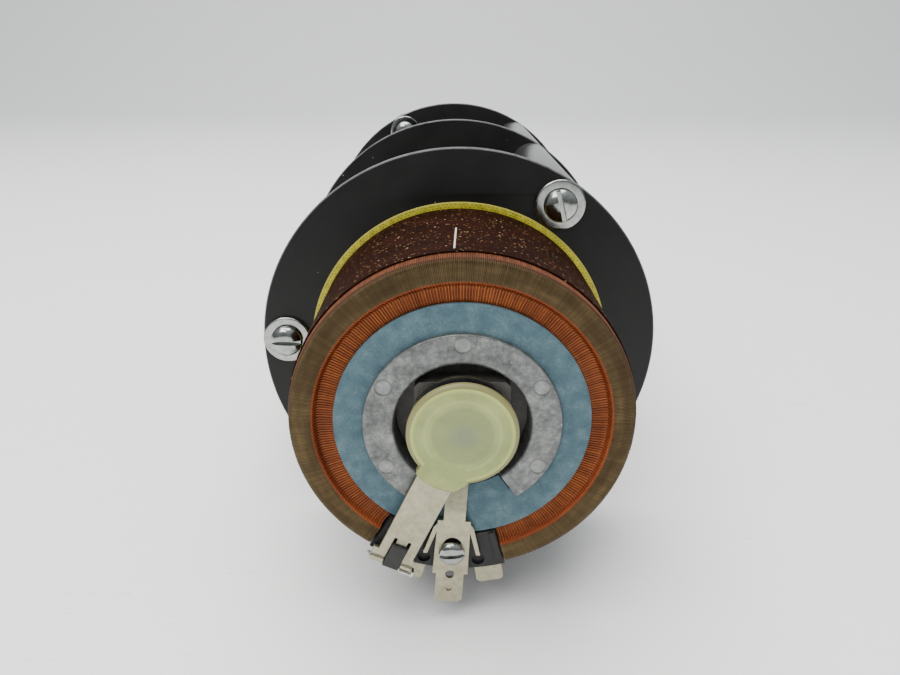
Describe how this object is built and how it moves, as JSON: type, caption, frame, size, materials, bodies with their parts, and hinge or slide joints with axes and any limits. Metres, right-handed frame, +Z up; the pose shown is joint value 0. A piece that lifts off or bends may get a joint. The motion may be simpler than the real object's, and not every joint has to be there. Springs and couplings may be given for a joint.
{
  "type": "variable autotransformer",
  "caption": "Stacked open-frame variable autotransformer: round plates on spacers, toroidal windings with bared brush tracks, and sprung brush arms on a common shaft.",
  "frame": {"origin": "on the shaft's axis in the plane of the mounting posts' rear faces", "axes": "+Y along the shaft towards its free end, -Y towards the first brush arm, +Z up with the unit lying on the edges of its plates"},
  "size_m": [0.1032, 0.2256, 0.1032],
  "materials": {
    "black_enamel": "satin black enamel",
    "zinc_plate": "bright zinc plate",
    "die_cast_aluminium": "as-cast, dull",
    "spacer_aluminium": "turned, light",
    "copper_wire": "enamelled copper, bared along the brush track",
    "core_steel": "strip-wound steel",
    "varnished_wrap": "dark varnished wrap",
    "varnished_cloth": "yellow varnished glass cloth",
    "blue_pressboard": "mottled blue pressboard",
    "black_phenolic": "moulded, matt",
    "grey_phenolic": "moulded, grey-brown, matt",
    "tinned_brass": "tinned strip",
    "turned_steel": "turned",
    "black_oxide_steel": "black oxide",
    "spring_steel": "spring temper",
    "sintered_bronze": "sintered bronze",
    "carbon": "pressed carbon, matt",
    "milky_nylon": "milky, slightly yellow-green"
  },
  "bodies": {
    "frame": {"base_plate_front": "black_enamel", "gasket_front": "varnished_cloth", "core_front": "core_steel", "winding_front": "copper_wire", "outer_sleeve_front": "varnished_wrap", "insulating_disc_front": "blue_pressboard", "hub_casting_front": "die_cast_aluminium", "collector_insulator_front": "grey_phenolic", "takeoff_strip_front": "tinned_brass", "terminal_block_front": "black_phenolic", "base_plate_middle": "black_enamel", "gasket_middle": "varnished_cloth", "core_middle": "core_steel", "winding_middle": "copper_wire", "outer_sleeve_middle": "varnished_wrap", "insulating_disc_middle": "blue_pressboard", "hub_casting_middle": "die_cast_aluminium", "collector_insulator_middle": "grey_phenolic", "takeoff_strip_middle": "tinned_brass", "terminal_block_middle": "black_phenolic", "base_plate_rear": "black_enamel", "gasket_rear": "varnished_cloth", "core_rear": "core_steel", "winding_rear": "copper_wire", "outer_sleeve_rear": "varnished_wrap", "insulating_disc_rear": "blue_pressboard", "hub_casting_rear": "die_cast_aluminium", "collector_insulator_rear": "grey_phenolic", "takeoff_strip_rear": "tinned_brass", "terminal_block_rear": "black_phenolic", "shaft_bushes": "sintered_bronze", "plate_spacers": "spacer_aluminium", "plate_screws": "zinc_plate", "plate_washers": "zinc_plate", "spacer_nuts": "zinc_plate", "mounting_posts": "spacer_aluminium", "casting_screws": "zinc_plate", "takeoff_screws": "zinc_plate", "winding_tabs": "tinned_brass", "stop_pin": "turned_steel"},
    "rotor": {"brush_hub_front": "turned_steel", "brush_arm_front": "tinned_brass", "hub_cap_front": "milky_nylon", "brush_hub_middle": "turned_steel", "brush_arm_middle": "tinned_brass", "hub_cap_middle": "milky_nylon", "brush_hub_rear": "turned_steel", "brush_arm_rear": "tinned_brass", "hub_cap_rear": "milky_nylon", "drive_shaft": "turned_steel", "hub_setscrews": "black_oxide_steel", "brush_pins": "turned_steel", "brush_springs": "spring_steel", "contact_washers": "black_oxide_steel", "stop_collar": "turned_steel", "retaining_ring": "black_oxide_steel"},
    "front_brush": {"brush_front": "carbon"},
    "middle_brush": {"brush_middle": "carbon"},
    "rear_brush": {"brush_rear": "carbon"}
  },
  "joints": [
    {"name": "rotor_turn", "type": "hinge", "parent": "frame", "child": "rotor", "pos_m": [0, 0, 0], "axis": [0, 1, 0], "range_deg": [0, 312]},
    {"name": "front_brush_pivot", "type": "hinge", "parent": "rotor", "child": "front_brush", "pos_m": [-0.01581, -0.19745, -0.0339], "axis": [0.9063, 0, -0.4226], "range_deg": [0, 5], "stiffness_Nm_per_rad": 0.002},
    {"name": "middle_brush_pivot", "type": "hinge", "parent": "rotor", "child": "middle_brush", "pos_m": [-0.01581, -0.12825, -0.0339], "axis": [0.9063, 0, -0.4226], "range_deg": [0, 5], "stiffness_Nm_per_rad": 0.002},
    {"name": "rear_brush_pivot", "type": "hinge", "parent": "rotor", "child": "rear_brush", "pos_m": [-0.01581, -0.05905, -0.0339], "axis": [0.9063, 0, -0.4226], "range_deg": [0, 5], "stiffness_Nm_per_rad": 0.002}
  ]
}
